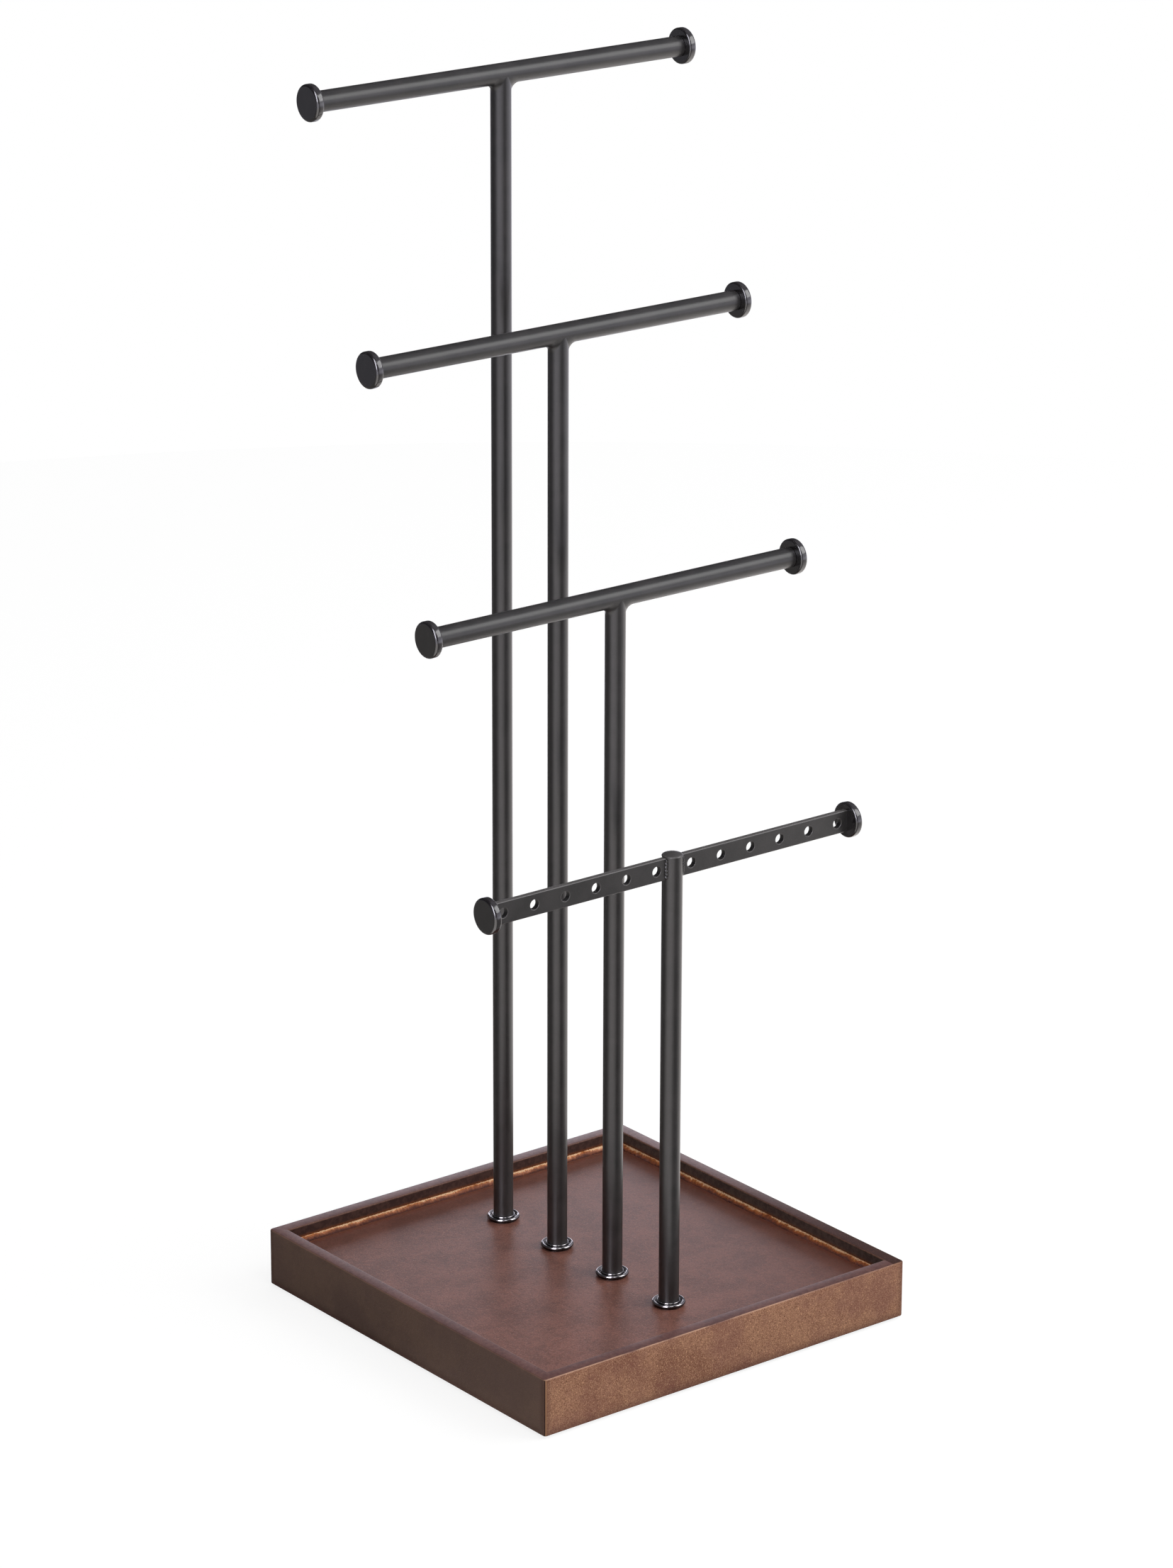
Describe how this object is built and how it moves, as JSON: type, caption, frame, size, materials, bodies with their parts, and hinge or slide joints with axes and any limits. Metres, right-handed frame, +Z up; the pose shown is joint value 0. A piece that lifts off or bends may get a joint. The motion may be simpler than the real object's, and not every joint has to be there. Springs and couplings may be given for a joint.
{
  "type": "jewelry stand",
  "caption": "Tiered jewelry tree: a shallow square wooden tray carries upright posts of falling height with round cross bars and a drilled flat bar for earrings.",
  "frame": {"origin": "on the table, under the middle of the tray", "axes": "+X along the cross bars, +Y from the shortest post to the tallest, +Z up along the posts"},
  "size_m": [0.1524, 0.1524, 0.4191],
  "materials": {
    "stained_panel": "brown stain, satin lacquer, smooth",
    "stained_rail": "brown stain, satin lacquer, fine fibre speckle",
    "glue": "stained glue and fibre, rough",
    "rubber": "matt black rubber",
    "zinc_steel": "zinc plated",
    "black_nickel": "polished black nickel",
    "powder_coat": "satin charcoal powder coat"
  },
  "bodies": {
    "root": {"floor_panel": "stained_panel", "rail_front": "stained_rail", "rail_right": "stained_rail", "rail_back": "stained_rail", "rail_left": "stained_rail", "glue_bead": "glue", "foot_pads": "rubber", "base_screws": "zinc_steel", "screw_washers": "zinc_steel", "collar_1": "black_nickel", "collar_2": "black_nickel", "collar_3": "black_nickel", "collar_4": "black_nickel", "insert_1": "zinc_steel", "insert_2": "zinc_steel", "insert_3": "zinc_steel", "insert_4": "zinc_steel", "post_1": "powder_coat", "post_2": "powder_coat", "post_3": "powder_coat", "post_4": "powder_coat", "post_4_dome": "powder_coat", "bar_1": "powder_coat", "bar_2": "powder_coat", "bar_3": "powder_coat", "earring_bar": "powder_coat", "weld_1": "powder_coat", "weld_2": "powder_coat", "weld_3": "powder_coat", "weld_4": "powder_coat", "cap_1_left": "black_nickel", "cap_1_right": "black_nickel", "cap_2_left": "black_nickel", "cap_2_right": "black_nickel", "cap_3_left": "black_nickel", "cap_3_right": "black_nickel", "cap_4_left": "black_nickel", "cap_4_right": "black_nickel"}
  },
  "joints": []
}
